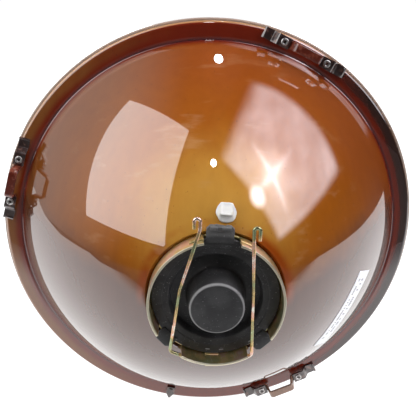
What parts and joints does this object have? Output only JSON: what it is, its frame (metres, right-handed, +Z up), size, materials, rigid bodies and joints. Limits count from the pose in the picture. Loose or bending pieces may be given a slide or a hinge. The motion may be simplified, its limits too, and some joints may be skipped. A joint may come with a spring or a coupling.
{
  "type": "round headlamp unit",
  "caption": "Round sealed-rim vehicle headlamp unit with lacquered steel reflector, glass lens, bulb collar, hinged wire bail, blanking plug and three strap brackets on the flange.",
  "frame": {"origin": "on the optical axis, in the plane of the glass flange's rear face", "axes": "+Y along the optical axis out of the bulb opening, +Z up, the glass faces -Y"},
  "size_m": [0.178, 0.1055, 0.178],
  "materials": {
    "lens_glass": "clear fluted glass",
    "seal_grey": "grey bonding seal",
    "lacquered_steel": "glossy amber-brown dipped lacquer",
    "yellow_zinc": "yellow passivated zinc, iridescent",
    "yellow_zinc_wire": "yellow passivated zinc wire",
    "bright_steel": "bright zinc",
    "dark_steel": "dark glossy lacquer over steel",
    "white_plastic": "translucent white polyethylene",
    "label_paper": null,
    "black_plastic": "satin black moulded plastic"
  },
  "bodies": {
    "lamp": {"lens": "lens_glass", "lens_seal": "seal_grey", "reflector": "lacquered_steel", "bulb_collar": "yellow_zinc", "collar_rivets": "bright_steel", "vent_plug": "white_plastic", "label": "label_paper", "locating_tab": "dark_steel", "strap_one": "lacquered_steel", "end_clip_one_a": "dark_steel", "end_clip_one_b": "dark_steel", "bracket_rivets_one": "bright_steel", "strap_two": "lacquered_steel", "end_clip_two_a": "dark_steel", "end_clip_two_b": "dark_steel", "bracket_rivets_two": "bright_steel", "strap_three": "lacquered_steel", "end_clip_three_a": "dark_steel", "end_clip_three_b": "dark_steel", "bracket_rivets_three": "bright_steel"},
    "bail": {"bail_wire": "yellow_zinc_wire"},
    "plug": {"dust_plug": "black_plastic"}
  },
  "joints": [
    {"name": "bail_hinge", "type": "hinge", "parent": "lamp", "child": "bail", "pos_m": [0.0012, 0.064, -0.024], "axis": [-1, 0, 0], "range_deg": [0, 120]},
    {"name": "plug_lift", "type": "slide", "parent": "lamp", "child": "plug", "axis": [0, 1, 0], "range_m": [0, 0.0089]}
  ],
  "couplings": [
    {"joint": "plug_lift", "follows": "bail_hinge", "m_per_rad": 0.0042}
  ]
}
